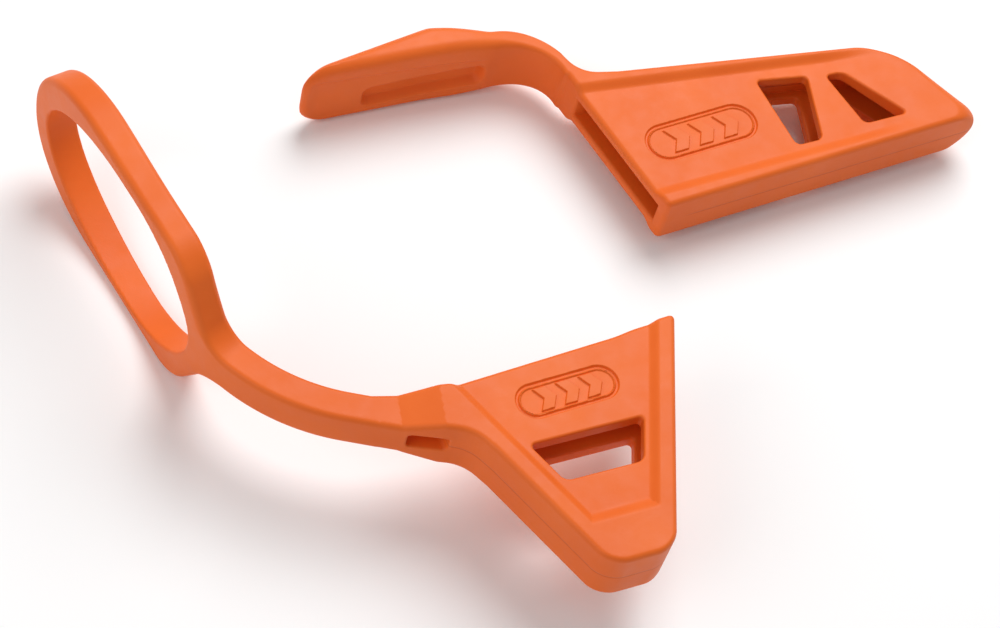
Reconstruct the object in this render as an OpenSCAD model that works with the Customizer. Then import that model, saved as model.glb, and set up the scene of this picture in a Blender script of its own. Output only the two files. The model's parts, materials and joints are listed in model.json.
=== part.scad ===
// Pick guard and spike guard for an ice axe: two soft moulded sheaths, each with a flexible arm.
// Millimetres, +Z up. The origin is under the middle of the pair, on the surface it lies on.

/* [Layout] */
// Middle of the spike guard's mouth, across
spike_at_x = -21.9; // [-30:0.05:-15]
// Middle of the spike guard's mouth, along
spike_at_y = -21.15; // [-25:0.05:-10]
// Middle of the pick guard's mouth, across
pick_at_x = 16.75; // [15:0.05:40]
// Middle of the pick guard's mouth, along
pick_at_y = 28.25; // [25:0.05:40]

/* [Spike sheath] */
// Depth from the middle of the mouth to the toe
spike_depth = 46; // [42:1:52]
// Half width of the toe
toe_half = 6.7; // [5:0.1:9]
// Slope of each side, degrees
spike_taper = 23; // [20:1:24]
// Tilt of the mouth line, degrees
mouth_tilt = 3.7; // [0:0.1:6]
// Thickness of the sheath
spike_thick = 14; // [13:0.5:16]
// Thickness of the rubber beside the pocket
spike_edge = 4; // [3:0.5:5]
// Height of the solid toe below the pocket
toe_solid = 9; // [7:1:12]

/* [Pockets and panels] */
// Gap of both pockets, from wall to wall
pocket_gap = 5; // [4.6:0.1:5.4]
// Depth of the sunk panels
panel_sunk = 1.1; // [0.6:0.1:1.4]
// Width of the rims round the spike guard's panel
panel_rim = 4.4; // [3:0.1:5]

/* [Spike arm and ring] */
// Width of the arm and of the ring's bars, across their bend
arm_w = 6.5; // [5:0.1:7]
// Height of the arm
arm_h = 8.8; // [7:0.2:10]
// Direction in which the arm leaves the sheath, degrees
arm_heading = 153; // [150:1:156]
// Length of the arm before it curves
arm_straight = 11.9; // [11:0.1:14]
// Radius of the arm's curve
arm_radius = 42; // [40:1:46]
// Turn of the arm's curve, degrees
arm_turn = 51.5; // [48:0.5:55]
// Length of arm between two of its bending places
hinge_step = 14; // [12:0.5:14]
// Height of the ring outside
ring_h = 39.6; // [38:0.2:42]
// Height of the hole in the ring
hole_h = 34.6; // [32:0.2:35]
// Length of the hole in the ring
hole_len = 57.6; // [54:0.2:60]

/* [Pick sheath] */
// Thickness of the sheath
pick_thick = 12.6; // [12:0.2:14]
// Thickness of the rubber beside the pocket
pick_edge = 3; // [2.5:0.5:4]
// Where the pocket ends, from the middle of the mouth
pick_pocket_end = 70; // [68:1:72]

/* [Pick arm and hook] */
// Thickness of the arm at its bend
bend_thick = 3; // [2.6:0.2:3.6]
// Radius of the bend, to its middle
bend_radius = 13.1; // [12:0.1:14]
// Height of the hook at its free end
hook_h = 18.4; // [17:0.2:19]
// Thickest place of the hook
hook_thick = 5.6; // [4.5:0.1:6]
// Depth of the groove on the hook's inner face
groove_deep = 1.2; // [0.5:0.1:1.5]

/* [Clearance] */
// Gap between two stretches of an arm that bend on each other
knuckle_gap = 0.3; // [0.2:0.05:0.4]

/* [Hidden] */
rubber = [0.93, 0.42, 0.16];
spike_z = ring_h / 2;
pick_z = hook_h / 2;
far = 200;

// ---- shared geometry ----
function unit(v) = v / norm(v);
function heading(a) = [cos(a), sin(a)];
function left_of(a) = [-sin(a), cos(a)];

// The arc of radius r that rounds the corner p1 between p0 and p2
function corner(p0, p1, p2, r, steps = 6) =
    let (a = unit(p0 - p1), b = unit(p2 - p1), half = acos(a * b) / 2,
         c = p1 + unit(a + b) * r / sin(half),
         s = p1 + a * r / tan(half) - c, e = p1 + b * r / tan(half) - c,
         from = atan2(s.y, s.x), turn = (atan2(e.y, e.x) - from + 540) % 360 - 180)
    [for (k = [0:steps]) c + r * heading(from + turn * k / steps)];

// A polygon whose corner i is rounded to radii[i]
function rounded(p, radii) =
    let (n = len(p))
    [for (i = [0:n - 1])
        each (radii[i] > 0 ? corner(p[(i + n - 1) % n], p[i], p[(i + 1) % n], radii[i]) : [p[i]])];

// A flat outline made h thick, centred on the middle plane
module slab(h) translate([0, 0, -h / 2]) linear_extrude(height = h) children();

// A side view, drawn as length and height, carried across the whole guard
module side_view() rotate([90, 0, 0]) translate([0, 0, -far]) linear_extrude(height = 2 * far) children();

// The wall above the pocket, or with side = -1 the one below it, with its sunk panel and windows
module wall(side, thick) {
    skin = (thick - pocket_gap) / 2;
    base = side > 0 ? pocket_gap / 2 : -thick / 2;
    sunk = side > 0 ? thick / 2 - panel_sunk : -thick / 2 - 1;
    difference() {
        translate([0, 0, base]) linear_extrude(height = skin) children(0);
        translate([0, 0, sunk]) linear_extrude(height = panel_sunk + 1) children(1);
        slab(thick + 2) children(2);
    }
}

// ---- spike guard: origin in the middle of its mouth, the toe towards -Y ----
slope = tan(spike_taper);
function side_x(y, inset = 0) = toe_half + (y + spike_depth) * slope - inset / cos(spike_taper);
function mouth_x(side, inset = 0) = side * side_x(0, inset) / (1 - side * slope * tan(mouth_tilt));
function mouth_at(side, inset = 0) = [mouth_x(side, inset), mouth_x(side, inset) * tan(mouth_tilt)];
pocket_floor = -spike_depth + toe_solid;
toe_round = 3.6;
panel_floor = -34.5;
window_top = -17.2;
window_low = -26.5;
window_half = 12.4;
mouth_round = 1.6;
left_top = mouth_at(-1);
right_top = mouth_at(1);

module spike_outline() polygon(rounded(
    [left_top, [-side_x(-spike_depth), -spike_depth], [side_x(-spike_depth), -spike_depth], right_top],
    [0, toe_round, toe_round, mouth_round]));
module spike_panel() polygon(
    [mouth_at(-1, panel_rim) + [0, 2], [-side_x(panel_floor, panel_rim), panel_floor],
     [side_x(panel_floor, panel_rim), panel_floor], mouth_at(1, panel_rim) + [0, 2]]);
module spike_window() polygon(rounded(
    [[-window_half, window_top], [-window_half + (window_top - window_low) * slope, window_low],
     [window_half - (window_top - window_low) * slope, window_low], [window_half, window_top]],
    [1.5, 1.5, 1.5, 1.5]));
module spike_side(side) polygon(
    [mouth_at(side), mouth_at(side, spike_edge), [side * side_x(pocket_floor, spike_edge), pocket_floor],
     [side * side_x(pocket_floor), pocket_floor]]);

// The arm's middle line: straight, then an arc, then straight again along the ring
arm_start = [-31, -5.05];
arc_centre = arm_start + arm_straight * heading(arm_heading) - arm_radius * left_of(arm_heading);
ring_heading = arm_heading - arm_turn;
arc_len = arm_radius * arm_turn * PI / 180;
ring_at = arc_centre + arm_radius * left_of(ring_heading);
ring_s = arm_straight + arc_len;
hinge_1 = 5;
hinge_2 = hinge_1 + hinge_step;
hinge_3 = hinge_2 + hinge_step;
function arm_dir(s) = arm_heading - min(max(s - arm_straight, 0), arc_len) / arm_radius * 180 / PI;
function arm_point(s, off = 0) =
    (s < arm_straight ? arm_start + s * heading(arm_heading)
     : s < ring_s ? arc_centre + arm_radius * left_of(arm_dir(s))
     : ring_at + (s - ring_s) * heading(ring_heading)) + off * left_of(arm_dir(s));
// The band between two distances along the arm
module arm_band(s0, s1, steps = 16) polygon(concat(
    [for (k = [0:steps]) arm_point(s0 + (s1 - s0) * k / steps, arm_w / 2)],
    [for (k = [steps:-1:0]) arm_point(s0 + (s1 - s0) * k / steps, -arm_w / 2)]));
module arm_pin(s, r, h) translate([arm_point(s).x, arm_point(s).y, -h / 2])
    cylinder(r = r, h = h, $fn = 48);
// A stretch of arm: hollow end on the pin at s0, round end at s1
module arm_stretch(s0, s1) difference() {
    union() {
        slab(arm_h) arm_band(s0, s1);
        arm_pin(s1, arm_w / 2, arm_h);
    }
    arm_pin(s0, arm_w / 2 + knuckle_gap, 2 * arm_h);
}

// The ring seen along its hole: u runs along the ring from where the arm's curve ends
hole_start = -4.4;
hole_near = 18;
hole_far = 22;
bow_mid = 37;
bow_end = 59.4;
// A quarter of an ellipse, from its tip on the long axis or from its widest place
function quarter(mid, a, b, from, to, steps = 12) =
    [for (k = [0:steps]) let (t = from + (to - from) * k / steps) [mid + a * cos(t), b * sin(t)]];
// The upper half of the outline, from the arm to the far end
neck_foot = [-8.2, arm_h / 2];
shoulder = [0.3, ring_h / 2 - 1.4];
bow_start = [bow_mid, ring_h / 2];
upper_side = concat([[-40, arm_h / 2]], corner([-40, arm_h / 2], neck_foot, shoulder, 5),
    corner(neck_foot, shoulder, bow_start, 5),
    quarter(bow_mid, bow_end - bow_mid, ring_h / 2, 90, 0));
hole_side = concat(quarter(hole_near, hole_near - hole_start, hole_h / 2, 180, 90),
    quarter(hole_far, hole_start + hole_len - hole_far, hole_h / 2, 90, 0));
// A half outline and its mirror image below the middle
function both_sides(half) = concat(half, [for (k = [len(half) - 2:-1:0]) [half[k].x, -half[k].y]]);
module ring_outline() difference() {
    polygon(both_sides(upper_side));
    polygon(both_sides(hole_side));
}
// The part of the ring between two stretches u0 and u1, and between two heights
module ring_part(u0, u1, z0 = -far, z1 = far) intersection() {
    slab(ring_h + 2) arm_band(hinge_3 + arm_w / 4, ring_s + bow_end + 2, 60);
    translate([ring_at.x, ring_at.y, 0]) rotate([0, 0, ring_heading]) side_view() intersection() {
        ring_outline();
        translate([u0, z0]) square([u1 - u0, z1 - z0]);
    }
}

// The root thickens from the arm's height to the sheath's
module root_side() polygon([[-60, arm_h / 2], [-33.3, arm_h / 2], [-26.5, spike_thick / 2], [0, spike_thick / 2],
    [0, -spike_thick / 2], [-26.5, -spike_thick / 2], [-33.3, -arm_h / 2], [-60, -arm_h / 2]]);
root_low = -17;
slot_x = [-32, -24.6];
slot_h = 4.8;
module root_plan() {
    pin = arm_point(hinge_1, arm_w / 2);
    polygon(concat([left_top, [-side_x(root_low), root_low]],
        corner([-side_x(root_low), root_low], [-24, -9.6], pin, 6), [pin, arm_point(hinge_1, -arm_w / 2)],
        [[-33, -0.55]]));
}

module place_spike() translate([spike_at_x, spike_at_y, spike_z]) color(rubber) children();
module spike_front_wall() place_spike() wall(1, spike_thick) {
    spike_outline();
    spike_panel();
    spike_window();
}
module spike_back_wall() place_spike() wall(-1, spike_thick) {
    spike_outline();
    spike_panel();
    spike_window();
}
module spike_left_edge() place_spike() slab(pocket_gap) spike_side(-1);
module spike_right_edge() place_spike() slab(pocket_gap) intersection() {
    spike_side(1);
    spike_outline();
}
module spike_toe() place_spike() slab(pocket_gap) intersection() {
    spike_outline();
    translate([-far, -far]) square([2 * far, far + pocket_floor]);
}
module spike_arm_root() place_spike() difference() {
    union() {
        intersection() {
            slab(spike_thick) root_plan();
            side_view() root_side();
        }
        arm_pin(hinge_1, arm_w / 2, arm_h);
    }
    translate([slot_x[0], -20, -slot_h / 2]) cube([slot_x[1] - slot_x[0], 40, slot_h]);
}
module spike_arm_inner() place_spike() arm_stretch(hinge_1, hinge_2);
module spike_arm_middle() place_spike() arm_stretch(hinge_2, hinge_3);
neck_u = -9;
bar_u = 6;
bow_u = 38;
module spike_arm_outer() place_spike() difference() {
    ring_part(-30, neck_u);
    arm_pin(hinge_3, arm_w / 2 + knuckle_gap, 2 * ring_h);
}
module spike_ring_neck() place_spike() ring_part(neck_u, bar_u);
module spike_ring_upper_bar() place_spike() ring_part(bar_u, bow_u, 0, far);
module spike_ring_lower_bar() place_spike() ring_part(bar_u, bow_u, -far, 0);
module spike_ring_bow() place_spike() ring_part(bow_u, far);

// ---- pick guard: origin in the middle of its mouth, the tip towards +X ----
lip_low = [3.4, -16.4];
lip_top = [-4.4, 21.2];
tip_low = [86.6, -10.2];
tip_top = [73.2, 12.7];
module pick_outline() polygon(rounded([lip_low, tip_low, tip_top, lip_top], [2.2, 4, 8, 0]));
// The nose: both faces end at a slanting line, and the middle stands out past it
nose_out = 4.6;
face_end = [71, 12.7];
face_end_low = [81, -10.2];
nose_turn = atan2(face_end.y - face_end_low.y, face_end.x - face_end_low.x) - 90;
module nose_wedge() translate([face_end.x, face_end.y, 0]) rotate([0, 0, nose_turn]) side_view()
    polygon([[-far, pick_thick / 2], [0, pick_thick / 2], [nose_out, 1.4], [nose_out, -1.4],
             [0, -pick_thick / 2], [-far, -pick_thick / 2]]);
// The point on the line a to b at x or at y, and one that lies inset above or below that line
function at_x(a, b, x) = [x, a.y + (x - a.x) * (b.y - a.y) / (b.x - a.x)];
function at_y(a, b, y) = [a.x + (y - a.y) * (b.x - a.x) / (b.y - a.y), y];
function along_low(x, inset) = at_x(lip_low, tip_low, x) + [0, inset];
function along_top(x, inset) = at_x(lip_top, tip_top, x) - [0, inset];
// The pocket keeps an even edge of rubber inside the outline
lip_inset = 4.4;
function lip_x(y) = at_y(lip_low, lip_top, y).x;
pocket_mouth_low = [lip_x(-13.3), along_low(lip_x(-13.3), pick_edge).y];
pocket_mouth_top = [lip_x(16.6), along_top(lip_x(16.6), lip_inset).y];
pocket_end_low = along_low(pick_pocket_end, pick_edge);
pocket_end_top = along_top(pick_pocket_end, lip_inset);
module before_end() translate([-far, -far]) square([far + pick_pocket_end, 2 * far]);
module pick_body_outline() intersection() {
    pick_outline();
    before_end();
}
module pick_panel() polygon([[-10, 16.8], along_top(58, 4.6), [66, 1], along_low(62, 5), [-10, -11.4]]);
window_a = [[37, 10.8], [48.3, 9.3], [45.3, -7], [39.5, -7.2]];
window_b = [[53.9, 8.9], [59.2, 8.2], [67.6, -3.2], [57.8, -5.9]];
module pick_windows() {
    polygon(rounded(window_a, [1.5, 1.5, 1, 1]));
    polygon(rounded(window_b, [1.2, 1.2, 1.2, 1.2]));
}

// The arm bends round one centre, then runs straight as the hook
bend_at = [-16.5, 21];
bend_out = bend_radius + bend_thick / 2;
bend_in = bend_radius - bend_thick / 2;
pin_1 = 25;
pin_2 = 75;
hook_end = -61.5;
hook_tip_thick = 2;
function bend_point(a, r = bend_radius) = bend_at + r * heading(a);
// Heights of the arm, seen from the side: it grows from the sheath's to the hook's
module arm_side() polygon(rounded(
    [[hook_end, hook_h / 2], [-30, hook_h / 2], [-16.5, 8], [-9, 6.8], [-4, pick_thick / 2],
     [30, pick_thick / 2], [30, -pick_thick / 2], [-4, -pick_thick / 2], [-9, -6.8], [-16.5, -8],
     [-30, -hook_h / 2], [hook_end, -hook_h / 2]],
    [7, 0, 0, 0, 0, 0, 0, 0, 0, 0, 0, 7]));
module bend_band(a0, a1, steps = 14) polygon(concat(
    [for (k = [0:steps]) bend_point(a0 + (a1 - a0) * k / steps, bend_out)],
    [for (k = [steps:-1:0]) bend_point(a0 + (a1 - a0) * k / steps, bend_in)]));
module bend_pin(a, r) translate([bend_point(a).x, bend_point(a).y, -hook_h])
    cylinder(r = r, h = 2 * hook_h, $fn = 36);
module pick_arm_solid() intersection() {
    children(0);
    side_view() arm_side();
}

module place_pick() translate([pick_at_x, pick_at_y, pick_z]) color(rubber) children();
module pick_front_wall() place_pick() wall(1, pick_thick) {
    pick_body_outline();
    pick_panel();
    pick_windows();
}
module pick_back_wall() place_pick() wall(-1, pick_thick) {
    pick_body_outline();
    pick_panel();
    pick_windows();
}
module pick_upper_edge() place_pick() slab(pocket_gap) intersection() {
    pick_body_outline();
    polygon([pocket_mouth_top, pocket_end_top, pocket_end_top + [0, 20], [-20, 40]]);
}
module pick_lower_edge() place_pick() slab(pocket_gap) intersection() {
    pick_body_outline();
    polygon([pocket_mouth_low, pocket_end_low, pocket_end_low - [0, 20], [-20, -40]]);
}
module pick_tip() place_pick() intersection() {
    slab(pick_thick) difference() {
        pick_outline();
        before_end();
    }
    nose_wedge();
}
module pick_arm_root() place_pick() pick_arm_solid() union() {
    slab(2 * hook_h) polygon(concat([lip_top],
        [for (a = [6:6:pin_1]) bend_point(a, bend_in)], [bend_point(pin_1, bend_in), bend_point(pin_1, bend_out)],
        corner(bend_point(pin_1, bend_out), [-1.4, 21.6], along_top(7, 0), 7), [along_top(7, 0)]));
    bend_pin(pin_1, bend_thick / 2);
}
module pick_arm_bend() place_pick() pick_arm_solid() difference() {
    union() {
        slab(2 * hook_h) bend_band(pin_1, pin_2);
        bend_pin(pin_2, bend_thick / 2);
    }
    bend_pin(pin_1, bend_thick / 2 + knuckle_gap);
}
hook_inner = bend_at.y + bend_in;
module pick_hook() place_pick() pick_arm_solid() difference() {
    slab(2 * hook_h) polygon(concat([bend_point(90, bend_in)],
        [for (a = [90:-3:pin_2]) bend_point(a, bend_in)], [for (a = [pin_2:3:90]) bend_point(a, bend_out)],
        [[-24, hook_inner + 4.6], [-29, hook_inner + hook_thick], [-33, hook_inner + hook_thick],
         [hook_end, hook_inner + hook_tip_thick], [hook_end, hook_inner]]));
    bend_pin(pin_2, bend_thick / 2 + knuckle_gap);
    translate([-46, hook_inner - 1, -5.2]) cube([26, 1 + groove_deep, 5.2]);
}

spike_front_wall();
spike_back_wall();
spike_left_edge();
spike_right_edge();
spike_toe();
spike_arm_root();
spike_arm_inner();
spike_arm_middle();
spike_arm_outer();
spike_ring_neck();
spike_ring_upper_bar();
spike_ring_lower_bar();
spike_ring_bow();
pick_front_wall();
pick_back_wall();
pick_upper_edge();
pick_lower_edge();
pick_tip();
pick_arm_root();
pick_arm_bend();
pick_hook();
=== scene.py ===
"""Pick guard and spike guard for an ice axe, moulded in satin orange rubber, lying side by side."""

import json
import math

import bmesh
import bpy
import numpy as np
from mathutils import Matrix, Vector


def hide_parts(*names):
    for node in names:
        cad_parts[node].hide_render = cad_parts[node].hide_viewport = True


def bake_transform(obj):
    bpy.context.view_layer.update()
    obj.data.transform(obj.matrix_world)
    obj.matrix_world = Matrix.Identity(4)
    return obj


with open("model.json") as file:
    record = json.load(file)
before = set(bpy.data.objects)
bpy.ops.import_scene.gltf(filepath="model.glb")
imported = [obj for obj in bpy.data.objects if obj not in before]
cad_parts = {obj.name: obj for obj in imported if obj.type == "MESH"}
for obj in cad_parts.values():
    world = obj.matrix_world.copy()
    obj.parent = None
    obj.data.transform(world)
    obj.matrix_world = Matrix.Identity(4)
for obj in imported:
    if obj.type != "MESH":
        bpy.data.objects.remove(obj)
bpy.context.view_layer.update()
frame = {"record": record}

MM = 0.001
mounts = {m["name"]: np.array(m["pos_m"]) / MM for m in frame["record"]["mounts"]}
# Each guard is shaped in millimetres about the middle of its own mouth, and then laid in the frame
spike_place = mounts["spike_pocket"]
pick_place = mounts["pick_pocket"]


# ---- outlines and distances, in millimetres ----
def heading(degrees):
    return np.array([math.cos(math.radians(degrees)), math.sin(math.radians(degrees))])


def left_of(degrees):
    return heading(degrees + 90)


def arc(centre, radius, start, end, steps=12):
    """Points along a circle, from one angle to another."""
    angles = np.radians(np.linspace(start, end, steps + 1))
    return np.array(centre) + radius * np.stack([np.cos(angles), np.sin(angles)], 1)


def corner(before, at, after, radius, steps=8):
    """The arc that rounds a corner: its centre lies on the bisector, radius / sin(half the angle) away."""
    before, at, after = (np.array(p, float) for p in (before, at, after))
    a = (before - at) / np.linalg.norm(before - at)
    b = (after - at) / np.linalg.norm(after - at)
    half = math.acos(a @ b) / 2
    centre = at + (a + b) / np.linalg.norm(a + b) * radius / math.sin(half)
    first = at + a * radius / math.tan(half) - centre
    last = at + b * radius / math.tan(half) - centre
    start = math.degrees(math.atan2(first[1], first[0]))
    turn = (math.degrees(math.atan2(last[1], last[0])) - start + 540) % 360 - 180
    return arc(centre, radius, start, start + turn, steps)


def outline_distance(x, y, outline):
    """Distance to a closed outline, negative inside: the nearest edge gives the size, and the parity
    of the edges that a ray crosses gives the sign."""
    shape = np.broadcast(x, y).shape
    nearest = np.full(shape, np.inf)
    inside = np.zeros(shape, bool)
    for (ax, ay), (bx, by) in zip(outline, np.roll(outline, -1, axis=0)):
        ex, ey = bx - ax, by - ay
        along = np.clip(((x - ax) * ex + (y - ay) * ey) / (ex * ex + ey * ey), 0, 1)
        nearest = np.minimum(nearest, (x - ax - along * ex) ** 2 + (y - ay - along * ey) ** 2)
        if ey:
            inside ^= ((ay > y) != (by > y)) & (x < ax + (y - ay) * ex / ey)
    return np.where(inside, -1.0, 1.0) * np.sqrt(nearest)


def meet(a, b, radius):
    """What two solids share, its edge rounded: outside the edge's circle the distance is to its centre."""
    a, b = a + radius, b + radius
    return np.hypot(np.maximum(a, 0), np.maximum(b, 0)) + np.minimum(np.maximum(a, b), 0) - radius


def join(a, b, radius):
    """Two solids as one, the corner between them filled to a radius."""
    return -meet(-a, -b, radius)


def cut(a, b, radius):
    """One solid less another, the edge of the cut rounded."""
    return meet(a, -b, radius)


def ease(t):
    """A ramp from 0 to 1 with soft ends, 3t^2 - 2t^3."""
    t = np.clip(t, 0, 1)
    return t * t * (3 - 2 * t)


# ---- meshes ----
FINE_STEP = 0.4
BADGE_CUTS = 2


def net(field, low, high, step):
    """Quads round a solid's surface: one vertex in each grid cell that the surface crosses, at the mean of
    its crossings with the cell's edges, and one quad round each grid edge that has one end inside."""
    x, y, z = np.ogrid[tuple(slice(a, b + step, step) for a, b in zip(low, high))]
    value = np.broadcast_to(field(x, y, z), (x.size, y.size, z.size)).astype(np.float32)
    inside = value < 0
    cells = np.array(value.shape) - 1
    offsets = np.array([(i, j, k) for i in (0, 1) for j in (0, 1) for k in (0, 1)])
    at = [tuple(slice(o, o + c) for o, c in zip(offset, cells)) for offset in offsets]
    held = sum(inside[s].astype(np.uint8) for s in at)
    crossed = np.argwhere((held > 0) & (held < 8))
    number = np.full(cells, -1)
    number[tuple(crossed.T)] = np.arange(len(crossed))
    total = np.zeros((len(crossed), 3))
    count = np.zeros(len(crossed))
    for a in offsets:
        for b in offsets:
            if (b - a).sum() == 1 and abs(b - a).sum() == 1:
                start, end = value[tuple((crossed + a).T)], value[tuple((crossed + b).T)]
                hit = (start < 0) != (end < 0)
                share = np.where(hit, start / np.where(hit, start - end, 1), 0)
                total += hit[:, None] * (a + share[:, None] * (b - a))
                count += hit
    points = np.array(low) + (crossed + total / count[:, None]) * step
    quads = []
    for axis in range(3):
        u, v = (axis + 1) % 3, (axis + 2) % 3
        lower = [slice(1, -1)] * 3
        lower[axis] = slice(0, -1)
        upper = list(lower)
        upper[axis] = slice(1, None)
        lower, upper = inside[tuple(lower)], inside[tuple(upper)]
        for first_inside in (True, False):
            base = np.argwhere((lower != upper) & (lower == first_inside))
            base[:, u] += 1
            base[:, v] += 1
            ring = []
            for du, dv in ((1, 1), (0, 1), (0, 0), (1, 0)):
                cell = base.copy()
                cell[:, u] -= du
                cell[:, v] -= dv
                ring.append(number[tuple(cell.T)])
            quad = np.stack(ring, 1)
            quads.append(quad[:, ::-1] if not first_inside else quad)
    return points, np.concatenate(quads)


def slope(field, p, value, reach=0.01):
    """The field's gradient at each point, by its differences from the value there."""
    x, y, z = p.T
    beside = field(x + reach, y, z), field(x, y + reach, z), field(x, y, z + reach)
    return (np.stack(beside, 1) - value[:, None]) / reach


def settle(field, p, rounds=1, most=0.2):
    """Slides points down the gradient on to the surface, by Newton's step, field * gradient / gradient^2."""
    for _ in range(rounds):
        value = field(*p.T)
        g = slope(field, p, value)
        move = value / np.maximum((g * g).sum(1), 0.05)
        p = p - np.clip(move, -most, most)[:, None] * g
    return p


def even_out(p, quads, share=0.5):
    """Moves each vertex part of the way to the mean of the vertices that it has an edge to."""
    a = quads.ravel()
    b = np.roll(quads, -1, axis=1).ravel()
    ends, others = np.concatenate([a, b]), np.concatenate([b, a])
    count = np.bincount(ends, minlength=len(p))
    total = np.stack([np.bincount(ends, p[others, i], len(p)) for i in range(3)], 1)
    return p + share * (total / np.maximum(count, 1)[:, None] - p)


def moulding(name, field, place, low, high, trims=(), fine=None):
    """A piece of one moulding: the net of its field, evened out and settled, cut square at each trim,
    a point and the direction that is cut away, and finer where the test fine is true."""
    points, quads = net(field, low, high, FINE_STEP)
    for _ in range(3):
        points = settle(field, even_out(points, quads))
    mesh = bpy.data.meshes.new(name)
    mesh.from_pydata(points.tolist(), [], quads.tolist())
    bm = bmesh.new()
    bm.from_mesh(mesh)
    if fine:
        near = [e for e in bm.edges if all(fine(*v.co) for v in e.verts)]
        bmesh.ops.subdivide_edges(bm, edges=near, cuts=BADGE_CUTS, use_grid_fill=True)
    for at, away in trims:
        parts = bm.verts[:] + bm.edges[:] + bm.faces[:]
        found = bmesh.ops.bisect_plane(bm, geom=parts, plane_co=at, plane_no=away, clear_outer=True)
        rim = [e for e in found["geom_cut"] if isinstance(e, bmesh.types.BMEdge)]
        bmesh.ops.edgeloop_fill(bm, edges=rim)
    bmesh.ops.recalc_face_normals(bm, faces=bm.faces)
    bm.to_mesh(mesh)
    bm.free()
    p = np.zeros(len(mesh.vertices) * 3)
    mesh.vertices.foreach_get("co", p)
    p = p.reshape(-1, 3)
    trimmed = np.zeros(len(p), bool)
    for at, away in trims:
        trimmed |= abs((p - np.array(at)) @ np.array(away)) < 1e-4
    p[~trimmed] = settle(field, p[~trimmed], rounds=2)
    normals = slope(field, p, field(*p.T))
    normals /= np.linalg.norm(normals, axis=1)[:, None] + 1e-9
    mesh.vertices.foreach_set("co", ((p + place) * MM).ravel())
    mesh.polygons.foreach_set("use_smooth", [True] * len(mesh.polygons))
    mesh.update()
    mesh.normals_split_custom_set_from_vertices(normals.tolist())
    piece = bpy.data.objects.new(name, mesh)
    bpy.context.scene.collection.objects.link(piece)
    return piece


# ---- badge: three raised chevrons in a long round frame ----
GROOVE_DEPTH = 0.5
FLOOR_DEPTH = 0.35


def badge_depth(x, y, centre, turn, half_length, half_height):
    """How far the badge is sunk below the panel: a groove round a long round frame, a shallow floor inside
    it, and chevrons that stand back up above the panel's level."""
    c, s = heading(turn)
    u = (x - centre[0]) * c + (y - centre[1]) * s
    v = (y - centre[1]) * c - (x - centre[0]) * s
    frame_edge = np.hypot(np.maximum(abs(u) - half_length + half_height, 0), v) - half_height
    groove = 1 - ease((abs(frame_edge + 0.5) - 0.15) / 0.35)
    floor = ease((-1.0 - frame_edge) / 0.3)
    point = u + 0.6 * abs(v) - 0.3 * half_height
    pitch = half_length * 0.45
    apart = abs(point - np.clip(np.round(point / pitch), -1, 1) * pitch) - 0.27 * pitch
    chevron = 1 - ease((np.maximum(apart, abs(v) - 0.62 * half_height) + 0.12) / 0.24)
    return GROOVE_DEPTH * groove + FLOOR_DEPTH * floor * (1 - 1.3 * chevron)


# ---- spike guard ----
SPIKE_HALF = 7.0
POCKET_HALF = 2.5
SUNK = 1.25
MOUTH_TILT = 3.7
SPIKE_TAPER = 23.0
TOE_Y = -46.0
TOE_HALF = 6.7
TOE_CORNER = 3.6
MOUTH_CORNER = 1.4
RIM_LIFT = 0.4
SPIKE_WALL = 4.0
SPIKE_POCKET_FOOT = -37.0
SPIKE_FRAME = 6.3
SPIKE_WINDOW_MIDDLE = (0.2, -22.0)
SPIKE_WINDOW_HALF = 4.5
SPIKE_RIM = 3.0
SPIKE_RIM_SLOPE = 2.4
SPIKE_PANEL_FOOT = -37.3
SPIKE_FOOT_SLOPE = 3.2
SPIKE_BADGE = {"centre": (-0.3, -8.6), "turn": 2.3, "half_length": 10.9, "half_height": 4.0}
taper_slope = math.tan(math.radians(SPIKE_TAPER))


def spike_side_x(y):
    """Half width at a depth: a straight taper."""
    return TOE_HALF + (y - TOE_Y) * taper_slope


def spike_taper(x, y, inset=0.0):
    """Distance outside the two tapered sides, moved in by an inset."""
    return (abs(x) - spike_side_x(y)) * math.cos(math.radians(SPIKE_TAPER)) + inset


def spike_sheath_plan(x, y):
    """A taper that ends at the toe, with large round corners, and at the slanting line of the mouth, which
    lifts a little over the right rim."""
    tilt = math.radians(MOUTH_TILT)
    beyond_mouth = y * math.cos(tilt) - x * math.sin(tilt) - RIM_LIFT * ease((x - 13) / 6)
    return meet(meet(spike_taper(x, y), TOE_Y - y, TOE_CORNER), beyond_mouth, MOUTH_CORNER)


def spike_window(x, y):
    """A window with sides parallel to the sheath's, and straight across above and below."""
    across, down = SPIKE_WINDOW_MIDDLE
    return meet(spike_taper(x - across, y, SPIKE_FRAME), abs(y - down) - SPIKE_WINDOW_HALF, 1.2)


def spike_pocket(x, y):
    """The pocket in plan: inside the walls, and closed above the toe."""
    return meet(spike_taper(x, y, SPIKE_WALL), SPIKE_POCKET_FOOT - y, 1.5)


# The arm's middle line: straight, an arc, and straight again along the ring
ARM_START = np.array([-31.0, -5.05])
ARM_HEADING = 153.0
ARM_STRAIGHT = 11.9
ARM_RADIUS = 42.0
ARM_TURN = 51.5
ARM_HALF_W = 3.25
ARM_HALF_H = 4.4
arc_start = ARM_START + ARM_STRAIGHT * heading(ARM_HEADING)
arc_centre = arc_start - ARM_RADIUS * left_of(ARM_HEADING)
arc_length = ARM_RADIUS * math.radians(ARM_TURN)
ring_heading = ARM_HEADING - ARM_TURN
ring_start = arc_centre + ARM_RADIUS * left_of(ring_heading)


def in_axes(x, y, origin, way):
    """A point's distance along a heading from an origin, and its distance to the left."""
    (c, s), x, y = heading(way), x - origin[0], y - origin[1]
    return x * c + y * s, y * c - x * s


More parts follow.
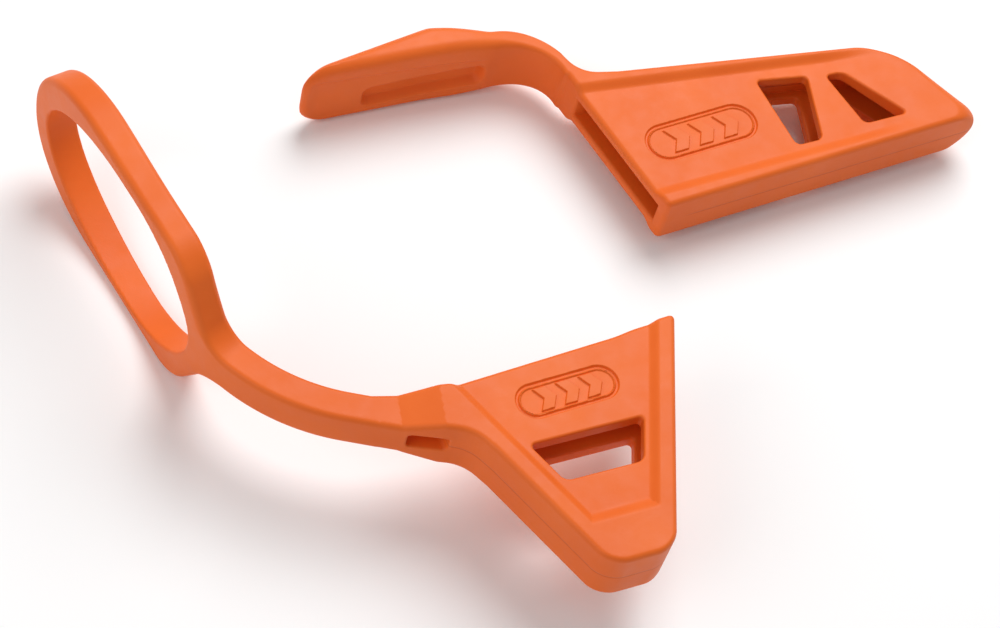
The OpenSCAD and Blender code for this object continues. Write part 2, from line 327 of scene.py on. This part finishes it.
def along_arm(x, y):
    """Distance along the arm's middle line, and distance to its left: of the two straights and the arc,
    the one that a point is abreast of gives both."""
    forward, left = in_axes(x, y, arc_centre, ARM_HEADING)
    turned = np.arctan2(forward, left)
    before, before_left = in_axes(x, y, arc_start, ARM_HEADING)
    after, after_left = in_axes(x, y, ring_start, ring_heading)
    first, last = turned < 0, turned > math.radians(ARM_TURN)
    s = np.where(first, before, np.where(last, after + arc_length, ARM_RADIUS * turned)) + ARM_STRAIGHT
    n = np.where(first, before_left, np.where(last, after_left, np.hypot(forward, left) - ARM_RADIUS))
    return s, n


def arm_point(s, off=0.0):
    """The point on the arm's middle line at a distance along it, and the direction there."""
    turned = min(max(s - ARM_STRAIGHT, 0), arc_length) / ARM_RADIUS
    way = ARM_HEADING - math.degrees(turned)
    if s < ARM_STRAIGHT:
        at = ARM_START + s * heading(ARM_HEADING)
    elif s < ARM_STRAIGHT + arc_length:
        at = arc_centre + ARM_RADIUS * left_of(way)
    else:
        at = ring_start + (s - ARM_STRAIGHT - arc_length) * heading(way)
    return at + off * left_of(way), heading(way)


def stretched(u, z, middle, reach, half, power=2.0):
    """Distance outside an ellipse, or a squarer oval of a higher power, near its edge: k - 1 over the
    slope of k, where k^power = (|u - middle| / reach)^power + (|z| / half)^power."""
    a, b = abs(u - middle) / reach + 1e-6, abs(z) / half + 1e-6
    k = (a ** power + b ** power) ** (1 / power)
    steep = np.hypot((a / k) ** (power - 1) / reach, (b / k) ** (power - 1) / half)
    return (k - 1) / steep


RING_UPPER = 20.8
RING_LOWER = 19.8
HOLE_HALF = 17.3
HOLE_NEAR = 18.0
HOLE_NEAR_REACH = 22.4
HOLE_FAR = 22.0
HOLE_FAR_REACH = 30.8
BOW_MIDDLE = 33.0
BOW_REACH = 25.4
BOW_POWER = 2.2
SHOULDER_CORNER = 5.0
NECK_FILLET = 3.5
NECK_FOOT = np.array([-10.0, ARM_HALF_H])
SHOULDER = np.array([-0.6, 20.1])
neck_way = (SHOULDER - NECK_FOOT) / np.linalg.norm(SHOULDER - NECK_FOOT)


def ring_side(u, z):
    """The ring seen along its hole. Outside, two straight bars end in round shoulders, slant in to the
    neck, and round into the strap; the far end is half a squarish oval. The hole is two half ellipses."""
    half = np.where(z > 0, RING_UPPER, RING_LOWER)
    z = abs(z)
    bow = stretched(u, z, BOW_MIDDLE, BOW_REACH, half, BOW_POWER)
    outside = np.where(u > BOW_MIDDLE, bow, z - half)
    slant = (z - NECK_FOOT[1]) * neck_way[0] - (u - NECK_FOOT[0]) * neck_way[1]
    loop = meet(outside, slant, SHOULDER_CORNER)
    strap = np.maximum(z - ARM_HALF_H, u - 4)
    solid = np.where(u < 8, join(strap, loop, NECK_FILLET), loop)
    near = stretched(u, z, HOLE_NEAR, HOLE_NEAR_REACH, HOLE_HALF)
    far = stretched(u, z, HOLE_FAR, HOLE_FAR_REACH, HOLE_HALF)
    hole = np.where(u < HOLE_NEAR, near, np.where(u > HOLE_FAR, far, z - HOLE_HALF))
    return solid, hole


# The root runs on under the arm's band as far as ROOT_OVERLAP, so that the two are one solid
BAND_START = 4.9
ROOT_OVERLAP = 9.0
ROOT_CORNER = 9.0
RING_STARTS = -16.0
RAMP_FOOT = -32.6
RAMP_LENGTH = 8.0
SLOT_MIDDLE = (-28.5, 0.3)
SLOT_HALF = (3.7, 2.1)
root_low = (-spike_side_x(-18.2), -18.2)
near_foot = (-32.45, -7.85)
root_outline = np.concatenate([
    [(-21, -1.36), (-14, -8), root_low],
    corner(root_low, (-21.5, -12.4), near_foot, ROOT_CORNER),
    [near_foot, arm_point(ROOT_OVERLAP, ARM_HALF_W)[0], arm_point(ROOT_OVERLAP, -ARM_HALF_W)[0]],
    [arm_point(8, -ARM_HALF_W)[0], (-31.7, 0.2), (-24.1, -0.9)],
])


def spike_plan(x, y, s, n, u):
    """The sheath, the root and the arm's band, whose far side thins at the neck and thickens at the bow."""
    far_side = ARM_HALF_W - 0.3 * ease((u + 10) / 12) + 0.5 * ease((u - 12) / 26)
    band = np.maximum(np.maximum(n - ARM_HALF_W, -n - far_side), BAND_START - s)
    sheath_and_root = np.minimum(spike_sheath_plan(x, y), outline_distance(x, y, root_outline))
    return np.minimum(sheath_and_root, band)


def spike_height(x, y, z):
    """Half the thickness of the sheath, less its sunk panel and badge, and of the root's ramp."""
    rim = -spike_taper(x, y)
    beyond_foot = (y - SPIKE_PANEL_FOOT) / SPIKE_FOOT_SLOPE
    panel = ease(np.minimum((rim - SPIKE_RIM) / SPIKE_RIM_SLOPE, beyond_foot))
    badge = badge_depth(x, y, **SPIKE_BADGE) * (z > 0)
    thick = SPIKE_HALF - SUNK * panel - badge * panel
    ramp = np.clip((x - 0.2 * (y + 3) - RAMP_FOOT) / RAMP_LENGTH, 0, 1)
    return np.minimum(ARM_HALF_H + (SPIKE_HALF - ARM_HALF_H) * ramp, thick)


def spike_field(x, y, z):
    """The whole spike guard. In plan it is the sheath, the root and the arm's band. From the side it is as
    thick as the sheath less its sunk panel, thins over the root to the arm's height, and then has the
    ring's loop. The pocket, the window and the root's slot are cut out."""
    s, n = along_arm(x, y)
    u = s - ARM_STRAIGHT - arc_length
    ring, hole = ring_side(u, z)
    side = np.where(u < RING_STARTS, abs(z) - spike_height(x, y, z), ring)
    edge = 1.1 + 0.3 * ease((u - RING_STARTS) / 12)
    solid = meet(spike_plan(x, y, s, n, u), side, edge)
    solid = np.where(u > RING_STARTS, cut(solid, hole, 0.6), solid)
    pocket = np.maximum(spike_pocket(x, y), abs(z) - POCKET_HALF)
    solid = cut(solid, pocket, 0.7)
    solid = cut(solid, spike_window(x, y), 0.5)
    slot = meet(abs(x - SLOT_MIDDLE[0]) - SLOT_HALF[0], abs(z - SLOT_MIDDLE[1]) - SLOT_HALF[1], 1.0)
    return cut(solid, np.maximum(slot, abs(y + 5) - 12), 0.35)


# ---- pick guard ----
PICK_HALF = 6.3
LIP_LOW = (3.4, -16.4)
LIP_TOP = (-4.4, 21.2)
TIP_LOW = (81.2, -10.5)
TIP_TOP = (71.2, 12.9)
NOSE_OUT = 5.6
NOSE_CORNER = 4.5
CROWN_CORNER = 8.0
LIP_CORNER = 1.2
PANEL_TOP = ((-2.7, 16.1), (61.1, 10.9))
PANEL_LOW = ((3.1, -10.7), (75.4, -7.0))
PANEL_TOP_SLOPE = 2.6
PANEL_LOW_SLOPE = 3.3
PICK_BADGE = {"centre": (19, 0.6), "turn": 4.7, "half_length": 13.6, "half_height": 4.9}
NEAR_WINDOW = ((36.9, 10.7), (48.9, 9.1), (44.9, -7.4), (38.6, -7.6))
FAR_WINDOW = ((53.3, 8.4), (57.3, 8.2), (66.6, -6.1), (56.3, -5.9))
POCKET_TOP = 16.8
POCKET_END = 70.0
TOP_WALL = 4.4
LOW_WALL = 3.0
BEND_AT = np.array([-16.5, 21.0])
BEND_IN = 11.6
BEND_DRAW_IN = 1.6
BEND_OUT = 14.6
BEND_STARTS = 24.0
HOOK_HALF = 9.2
HOOK_END = -61.5
HOOK_BACK = 32.0
HOOK_CORNER = 7.0
RIDGE_X = -31.0
RIDGE_THICK = 7.2
RIDGE_FALL = 0.184
GRIP_MIDDLE = -32.8
GRIP_HALF = (13.4, 2.5)
GRIP_DEPTH = 1.9
LEDGE_DEPTH = 0.3


def bend_inner(degrees):
    """The bend's inner radius, drawn in towards the hook so that the rubber thickens."""
    return BEND_IN - BEND_DRAW_IN * ease((degrees - 10) / 75)


def hook_inner(x):
    """The hook's inner face: it leaves the bend at the drawn-in radius, and eases back a little."""
    return BEND_AT[1] + BEND_IN - BEND_DRAW_IN + 0.7 * ease((-17 - x) / 18)


def on_line(a, b, x):
    """The height of the line from a to b."""
    return a[1] + (x - a[0]) * (b[1] - a[1]) / (b[0] - a[0])


def beside(x, y, a, b):
    """Distance to the left of the line from a to b."""
    ex, ey = b[0] - a[0], b[1] - a[1]
    return ((y - a[1]) * ex - (x - a[0]) * ey) / np.sqrt(ex * ex + ey * ey)


def four_sided(x, y, a, b, c, d):
    """Distance outside a four-sided hole with round corners."""
    across = meet(beside(x, y, a, b), beside(x, y, c, d), 0.8)
    return meet(across, meet(beside(x, y, b, c), beside(x, y, d, a), 0.8), 1.2)


root_top = (7.0, on_line(LIP_TOP, TIP_TOP, 7.0))
root_curve = np.concatenate([
    [(2, 14), (-3.4, 16.4), LIP_TOP],
    [BEND_AT + bend_inner(angle) * heading(angle) for angle in range(4, 41, 4)],
    arc(BEND_AT, BEND_OUT, 40, 27, 4),
    corner(BEND_AT + BEND_OUT * heading(25), (-1.4, 21.6), root_top, 7),
    [root_top, (9, 14)],
])


def pick_sheath_plan(x, y, z):
    """A long wedge between two straight edges, cut at the slanting lip. Its nose stands out most at
    mid-thickness, by an amount that falls with z^2 to nothing at the faces."""
    out = NOSE_OUT * (1 - (z / PICK_HALF) ** 2)
    low = beside(x, y, TIP_LOW, LIP_LOW)
    top = beside(x, y, LIP_TOP, TIP_TOP)
    nose = beside(x, y, TIP_TOP, (TIP_LOW[0] + out, TIP_LOW[1]))
    lip = beside(x, y, LIP_LOW, LIP_TOP)
    return meet(meet(meet(low, nose, NOSE_CORNER), top, CROWN_CORNER), lip, LIP_CORNER)


def hook_back(run):
    """The hook's thickness past the bend, to its back: it swells along a parabola to a soft ridge, and
    falls in a straight line to the tip. Each smooth joint is half the sum, plus or minus half the
    hypotenuse of the difference and a small softness."""
    least = BEND_AT[1] + BEND_OUT - HOOK_BACK
    swell = 3.1 + 0.4 * run - 0.0078 * run * run
    rise = 0.5 * (least + swell + np.hypot(swell - least, 0.4)) - 0.05
    fall = RIDGE_THICK - RIDGE_FALL * (run + RIDGE_X - BEND_AT[0])
    return 0.5 * (rise + fall - np.hypot(rise - fall, 0.25))


def hook_plan(x, y):
    """The arm's bend is a band round one centre, and its inner side draws in. Past it the hook lies
    between its inner face and its swelling back."""
    radius = np.hypot(x - BEND_AT[0], y - BEND_AT[1])
    turned = np.degrees(np.arctan2(y - BEND_AT[1], x - BEND_AT[0]))
    bend = np.maximum(bend_inner(turned) - radius, radius - BEND_OUT)
    bend = np.maximum(bend, -beside(x, y, BEND_AT, BEND_AT + heading(BEND_STARTS)))
    run = BEND_AT[0] - x
    outer = (y - HOOK_BACK - hook_back(run)) * 0.98
    hook = meet(np.maximum(outer, hook_inner(x) - y), HOOK_END - x, 1.2)
    return np.where(run < 0, bend, hook)


def grip_face(x, z):
    """The hook's inner face with its grip groove, and the low ledge above that."""
    grip_z = z + 2.5 - 0.05 * (x + 33)
    grip = meet(abs(x - GRIP_MIDDLE) - GRIP_HALF[0], abs(grip_z) - GRIP_HALF[1], 1.5)
    above = ease((4.6 - z - 0.05 * (x + 36)) / 0.9)
    ledge = above * ease((-18 - x) / 4) * ease((x + 60) / 3)
    return hook_inner(x) + GRIP_DEPTH * ease(0.5 - grip / 1.8) + LEDGE_DEPTH * ledge


def pick_side(x, y, z):
    """The pick guard from the side: as thick as the sheath less its sunk panel and badge, and growing
    along the arm to the hook's height, with round corners at the hook's end."""
    top = (on_line(*PANEL_TOP, x) + PANEL_TOP_SLOPE - y) / PANEL_TOP_SLOPE
    low = (y - on_line(*PANEL_LOW, x) + PANEL_LOW_SLOPE) / PANEL_LOW_SLOPE
    panel = ease(np.minimum(top, low)) * ease((72 - x) / 20)
    badge = badge_depth(x, y, **PICK_BADGE) * (z > 0)
    flat = abs(z) - (PICK_HALF - SUNK * panel - badge)
    grown = PICK_HALF + (HOOK_HALF - PICK_HALF) * ease((-3 - x) / 24)
    return np.where(x < -4, meet(abs(z) - grown, HOOK_END - x, HOOK_CORNER), flat)


def pick_pocket(x, y):
    """The pocket in plan: between the walls, open at the lip, and closed before the tip."""
    top_edge = on_line(LIP_TOP, TIP_TOP, x) - TOP_WALL
    low_edge = on_line(LIP_LOW, TIP_LOW, x) + LOW_WALL
    return meet(meet(y - np.minimum(top_edge, POCKET_TOP), low_edge - y, 1.0), x - POCKET_END, 1.5)


def pick_field(x, y, z):
    """The whole pick guard. In plan it is the sheath and the curled arm with its hook. The pocket, the
    windows and the grip groove are cut out."""
    root = outline_distance(x, y, root_curve)
    plan = np.minimum(np.minimum(pick_sheath_plan(x, y, z), root), hook_plan(x, y))
    edge = 1.2 + 1.3 * ease((-8 - x) / 16)
    solid = meet(plan, pick_side(x, y, z), edge)
    solid = cut(solid, np.maximum(pick_pocket(x, y), abs(z) - POCKET_HALF), 0.7)
    windows = np.minimum(four_sided(x, y, *NEAR_WINDOW), four_sided(x, y, *FAR_WINDOW))
    solid = cut(solid, windows, 0.5)
    return np.where(x < BEND_AT[0], np.maximum(solid, (grip_face(x, z) - y) * 0.9), solid)


# ---- material ----
def rubber(name, parting_height, parting_from):
    """Satin orange rubber: an even spark-eroded grain, a faint drift of colour and gloss, and a fine
    parting line at one height, on faces that stand upright beyond one place along X."""
    material = bpy.data.materials.new(name)
    material.use_nodes = True
    nodes, links = material.node_tree.nodes, material.node_tree.links
    shader = nodes["Principled BSDF"]
    shader.inputs["Specular IOR Level"].default_value = 0.30
    place = nodes.new("ShaderNodeTexCoord")

    def noise(scale, detail):
        node = nodes.new("ShaderNodeTexNoise")
        node.inputs["Scale"].default_value = scale
        node.inputs["Detail"].default_value = detail
        links.new(place.outputs["Object"], node.inputs["Vector"])
        return node.outputs["Fac"]

    def remap(value, low, high, to_low, to_high):
        node = nodes.new("ShaderNodeMapRange")
        node.inputs["From Min"].default_value = low
        node.inputs["From Max"].default_value = high
        node.inputs["To Min"].default_value = to_low
        node.inputs["To Max"].default_value = to_high
        links.new(value, node.inputs["Value"])
        return node.outputs["Result"]

    def maths(operation, a, b=None):
        node = nodes.new("ShaderNodeMath")
        node.operation = operation
        for socket, value in zip(node.inputs, (a, b)):
            if isinstance(value, (int, float)):
                socket.default_value = value
            elif value is not None:
                links.new(value, socket)
        return node.outputs[0]

    split = nodes.new("ShaderNodeSeparateXYZ")
    links.new(place.outputs["Object"], split.inputs[0])
    geometry = nodes.new("ShaderNodeNewGeometry")
    facing = nodes.new("ShaderNodeSeparateXYZ")
    links.new(geometry.outputs["True Normal"], facing.inputs[0])
    off_line = maths("ABSOLUTE", maths("SUBTRACT", split.outputs["Z"], parting_height * MM))
    line = remap(off_line, 0.00010, 0.00028, 1.0, 0.0)
    upright = remap(maths("ABSOLUTE", facing.outputs["Z"]), 0.3, 0.6, 1.0, 0.0)
    reached = remap(split.outputs["X"], (parting_from - 2) * MM, (parting_from + 2) * MM, 0.0, 1.0)
    parting = maths("MULTIPLY", maths("MULTIPLY", line, upright), reached)

    colour = nodes.new("ShaderNodeMix")
    colour.data_type = "RGBA"
    colour.inputs["A"].default_value = (0.79, 0.132, 0.012, 1)
    colour.inputs["B"].default_value = (0.83, 0.148, 0.015, 1)
    links.new(remap(noise(60, 3), 0.35, 0.65, 0.0, 1.0), colour.inputs["Factor"])
    seam = nodes.new("ShaderNodeMix")
    seam.data_type = "RGBA"
    seam.inputs["B"].default_value = (0.55, 0.085, 0.015, 1)
    links.new(colour.outputs["Result"], seam.inputs["A"])
    links.new(maths("MULTIPLY", parting, 0.5), seam.inputs["Factor"])
    links.new(seam.outputs["Result"], shader.inputs["Base Color"])
    links.new(remap(noise(240, 4), 0.3, 0.7, 0.44, 0.56), shader.inputs["Roughness"])

    grain = maths("ADD", noise(2600, 2), maths("MULTIPLY", noise(700, 3), 0.8))
    height = maths("SUBTRACT", grain, maths("MULTIPLY", parting, 3.0))
    bump = nodes.new("ShaderNodeBump")
    bump.inputs["Strength"].default_value = 0.35
    bump.inputs["Distance"].default_value = 0.00006
    links.new(height, bump.inputs["Height"])
    links.new(bump.outputs["Normal"], shader.inputs["Normal"])
    return material


# The parting line shows from the spike guard's root, and from past the pick guard's mouth
spike_rubber = rubber("orange_rubber_spike_guard", spike_place[2], spike_place[0] - 30)
pick_rubber = rubber("orange_rubber_pick_guard", pick_place[2], pick_place[0] + 10)


# ---- pieces ----
def in_plan(v):
    return (v[0], v[1], 0.0)


# Distances along the arm of the square cuts between its pieces
ARM_CUTS = (12.0, 26.0)
first_cut, first_way = map(in_plan, arm_point(ARM_CUTS[0]))
second_cut, second_way = map(in_plan, arm_point(ARM_CUTS[1]))


def turned_back(way):
    return tuple(-part for part in way)


def near_badge(badge, reach):
    """Whether a point of the upper face lies in a rectangle round a badge."""
    (across, along), (half_across, half_along) = badge["centre"], reach
    return lambda x, y, z: z > 4 and abs(x - across) < half_across and abs(y - along) < half_along


spike_sheath = moulding(
    "spike_sheath_skin", spike_field, spike_place, (-47, -48, -8.4), (30, 6, 8.4),
    [(first_cut, first_way)], near_badge(SPIKE_BADGE, (12, 5.4)))
spike_arm = moulding(
    "spike_arm_skin", spike_field, spike_place, (-62, -8, -6.4), (-36, 17, 6.4),
    [(first_cut, turned_back(first_way)), (second_cut, second_way)])
spike_ring = moulding(
    "spike_ring_skin", spike_field, spike_place, (-87, 3, -23), (-48, 92, 23),
    [(second_cut, turned_back(second_way))])

BEND_CUT = 50.0
bend_middle = (BEND_IN + BEND_OUT) / 2
bend_cut = in_plan(BEND_AT + bend_middle * heading(BEND_CUT))
bend_way = in_plan(left_of(BEND_CUT))
pick_sheath = moulding(
    "pick_sheath_skin", pick_field, pick_place, (-16, -19, -8.0), (89, 38, 8.0),
    [(bend_cut, bend_way)], near_badge(PICK_BADGE, (15, 6.8)))
pick_hook = moulding(
    "pick_hook_skin", pick_field, pick_place, (-64, 22, -10.4), (-2, 41, 10.4),
    [(bend_cut, turned_back(bend_way))])

for piece in (spike_sheath, spike_arm, spike_ring):
    piece.data.materials.append(spike_rubber)
for piece in (pick_sheath, pick_hook):
    piece.data.materials.append(pick_rubber)

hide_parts("spike_front_wall", "spike_back_wall", "spike_left_edge", "spike_right_edge",
            "spike_toe", "spike_arm_root")
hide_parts("spike_arm_inner", "spike_arm_middle")
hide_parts("spike_arm_outer", "spike_ring_neck", "spike_ring_upper_bar",
            "spike_ring_lower_bar", "spike_ring_bow")
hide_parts("pick_front_wall", "pick_back_wall", "pick_upper_edge", "pick_lower_edge",
            "pick_tip", "pick_arm_root")
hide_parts("pick_arm_bend", "pick_hook")


def bend_arm(piece):
    """Bakes a spike guard piece's placement into its mesh."""
    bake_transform(piece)


def bend_hook(piece):
    """Bakes a pick guard piece's placement into its mesh."""
    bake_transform(piece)


bend_arm(spike_sheath)
bend_arm(spike_arm)
bend_arm(spike_ring)
bend_hook(pick_sheath)
bend_hook(pick_hook)


# ---- studio ----
def plain(name, colour, roughness):
    material = bpy.data.materials.new(name)
    material.use_nodes = True
    shader = material.node_tree.nodes["Principled BSDF"]
    shader.inputs["Base Color"].default_value = (*colour, 1)
    shader.inputs["Roughness"].default_value = roughness
    return material


floor_mesh = bpy.data.meshes.new("floor")
floor_mesh.from_pydata([(-3, -3, 0), (3, -3, 0), (3, 3, 0), (-3, 3, 0)], [], [(0, 1, 2, 3)])
floor_mesh.materials.append(plain("pale_floor", (0.97, 0.97, 0.97), 0.7))
floor = bpy.data.objects.new("floor", floor_mesh)
bpy.context.scene.collection.objects.link(floor)

world = bpy.data.worlds.new("studio")
bpy.context.scene.world = world
world.use_nodes = True
world.node_tree.nodes["Background"].inputs["Color"].default_value = (1, 1, 1, 1)
world.node_tree.nodes["Background"].inputs["Strength"].default_value = 0.40


def soft_light(name, at, aim, size, watts):
    light = bpy.data.lights.new(name, "AREA")
    light.shape = "DISK"
    light.size = size
    light.energy = watts
    lamp = bpy.data.objects.new(name, light)
    lamp.location = at
    lamp.rotation_euler = (Vector(aim) - Vector(at)).to_track_quat("-Z", "Y").to_euler()
    bpy.context.scene.collection.objects.link(lamp)


soft_light("key_light", (0.3, 0.42, 0.75), (0, 0, 0), 0.7, 6.5)
soft_light("left_fill", (-0.7, -0.1, 0.5), (0, 0, 0.02), 0.6, 1.6)

# The camera looks down at the pair from its front right, rolled over to its left
VIEW_HEIGHT = 55.4
VIEW_ROLL = 17.8
VIEW_TURN = -36.0
VIEW_DISTANCE = 455.0
FOCAL_LENGTH = 85.4
AIM_BESIDE = (-9.59, 16.5)
aim = spike_place - np.array([21.0, 1.45, 0.0])


def rotation(degrees, axis):
    return np.array(Matrix.Rotation(math.radians(degrees), 3, axis))


def studio_camera():
    """The view's axes, right, down and forward: level along Y, tipped down by the height, rolled about
    the line of sight, and then the whole view is turned about Z."""
    height = math.radians(VIEW_HEIGHT)
    level = np.array([
        [1, 0, 0],
        [0, -math.sin(height), -math.cos(height)],
        [0, math.cos(height), -math.sin(height)],
    ])
    right, down, forward = rotation(VIEW_ROLL, "Z") @ level @ rotation(VIEW_TURN, "Z").T
    at = aim - (right * AIM_BESIDE[0] + down * AIM_BESIDE[1] + forward * VIEW_DISTANCE)
    data = bpy.data.cameras.new("camera")
    data.lens = FOCAL_LENGTH
    data.sensor_width = 36.0
    camera = bpy.data.objects.new("camera", data)
    placed = np.eye(4)
    placed[:3] = np.stack([right, -down, -forward, at * MM], 1)
    camera.matrix_world = Matrix(placed.tolist())
    bpy.context.scene.collection.objects.link(camera)
    bpy.context.scene.camera = camera


studio_camera()
bpy.context.scene.view_settings.view_transform = "Standard"
